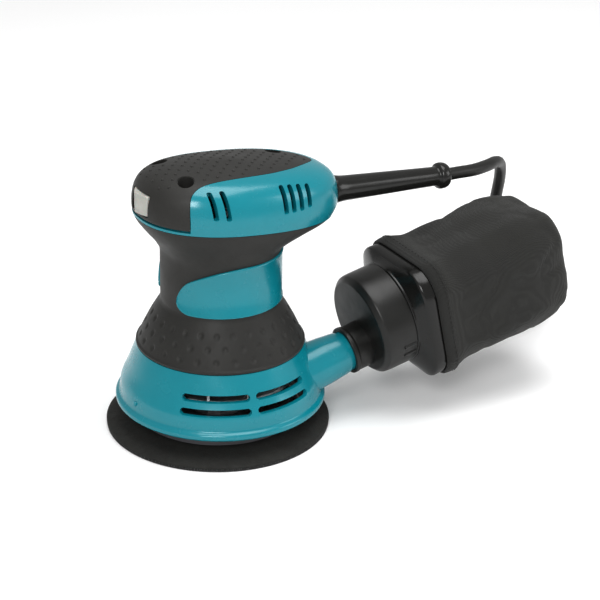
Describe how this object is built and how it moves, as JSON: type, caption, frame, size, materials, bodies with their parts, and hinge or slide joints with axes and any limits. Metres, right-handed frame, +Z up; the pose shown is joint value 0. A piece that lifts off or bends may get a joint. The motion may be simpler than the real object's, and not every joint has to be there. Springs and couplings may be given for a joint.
{
  "type": "orbital_sander",
  "caption": "Palm-grip random-orbit sander with a round hook-and-loop pad, slotted lower shroud, domed head, mains cord and a fabric dust bag on a pull-off nozzle.",
  "frame": {"origin": "On the motor's axis, in the plane of the sanding pad's face (the surface that it stands on).", "axes": "+Z up along the motor's axis; +X to the rear, where the cord leaves and the dust bag lies; +Y to the side away from the dust spout; the switch faces -X."},
  "size_m": [0.3315, 0.2015, 0.1528],
  "materials": {
    "teal_plastic": "moulded, satin",
    "dark_plastic": "moulded, satin",
    "black_rubber": "moulded elastomer, matt",
    "grey_rubber": "soft dust cover, translucent grey",
    "pad_foam": "moulded foam, matt",
    "hook_fabric": "hook tape",
    "bag_fabric": "woven cloth",
    "steel": "machined",
    "zinc_casting": "die cast",
    "copper": "enamelled copper winding",
    "brass": "rolled brass",
    "carbon": "pressed carbon",
    "glass_nylon": "glass-filled nylon, matt",
    "cord_sheath": "rubber sheath, satin"
  },
  "bodies": {
    "housing": {"shroud": "teal_plastic", "motor_housing": "glass_nylon", "grip_sleeve": "black_rubber", "badge_plate": "teal_plastic", "head_rim": "black_rubber", "head_cover": "teal_plastic", "palm_grip": "black_rubber", "cover_screw_1": "steel", "cover_screw_2": "steel", "cover_screw_3": "steel", "shroud_screw_1": "steel", "shroud_screw_2": "steel", "shroud_screw_3": "steel", "switch_body": "dark_plastic", "cord_guard": "dark_plastic", "cord_clamp": "glass_nylon", "clamp_screw_1": "steel", "clamp_screw_2": "steel", "stator_core": "steel", "field_coil_1": "copper", "field_coil_2": "copper", "upper_bearing_outer": "steel", "lower_bearing_outer": "steel", "bearing_plate": "glass_nylon", "brake_ring": "black_rubber", "brush_holder_1": "brass", "brush_holder_2": "brass", "brush_spring_1": "steel", "brush_spring_2": "steel", "suppressor_capacitor": "brass", "cord": "cord_sheath", "cord_coil": "cord_sheath", "plug_body": "dark_plastic", "plug_blade_1": "brass", "plug_blade_2": "brass"},
    "rotor": {"motor_shaft": "steel", "armature_core": "steel", "armature_winding_upper": "copper", "armature_winding_lower": "copper", "commutator": "copper", "cooling_fan": "zinc_casting", "eccentric_crank": "zinc_casting", "pad_bearing_outer": "steel", "upper_bearing_inner": "steel", "lower_bearing_inner": "steel"},
    "pad": {"pad_bearing_inner": "steel", "pad_hub": "zinc_casting", "backing_plate": "glass_nylon", "foam_pad": "pad_foam", "hook_face": "hook_fabric", "pad_screw_1": "steel", "pad_screw_2": "steel", "pad_screw_3": "steel"},
    "switch": {"switch_rocker": "dark_plastic", "switch_cover": "grey_rubber"},
    "nozzle": {"dust_nozzle": "dark_plastic"},
    "bag": {"bag_frame": "dark_plastic", "dust_bag": "bag_fabric"},
    "brush_left": {"carbon_brush_1": "carbon"},
    "brush_right": {"carbon_brush_2": "carbon"}
  },
  "joints": [
    {"name": "rotor_spin", "type": "hinge", "parent": "housing", "child": "rotor", "pos_m": [0, 0, 0], "axis": [0, 0, 1], "continuous": true},
    {"name": "pad_spin", "type": "hinge", "parent": "rotor", "child": "pad", "pos_m": [-0.0015, 0, 0], "axis": [0, 0, 1], "continuous": true},
    {"name": "switch_rock", "type": "hinge", "parent": "housing", "child": "switch", "pos_m": [-0.0446, 0, 0.1366], "axis": [0, 0, 1], "range_deg": [0, 10]},
    {"name": "nozzle_pull", "type": "slide", "parent": "housing", "child": "nozzle", "axis": [0.9744, 0, 0.225], "range_m": [0, 0.03]},
    {"name": "bag_turn", "type": "hinge", "parent": "nozzle", "child": "bag", "pos_m": [0.06283, -0.023, 0.04712], "axis": [0.9744, 0, 0.225], "range_deg": [0, 40]},
    {"name": "brush_left_travel", "type": "slide", "parent": "housing", "child": "brush_left", "axis": [0, -1, 0], "range_m": [0, 0.003], "stiffness_N_per_m": 100, "springref_m": -0.005, "deforming": ["brush_spring_1"]},
    {"name": "brush_right_travel", "type": "slide", "parent": "housing", "child": "brush_right", "axis": [0, 1, 0], "range_m": [0, 0.003], "stiffness_N_per_m": 100, "springref_m": -0.005, "deforming": ["brush_spring_2"]}
  ]
}
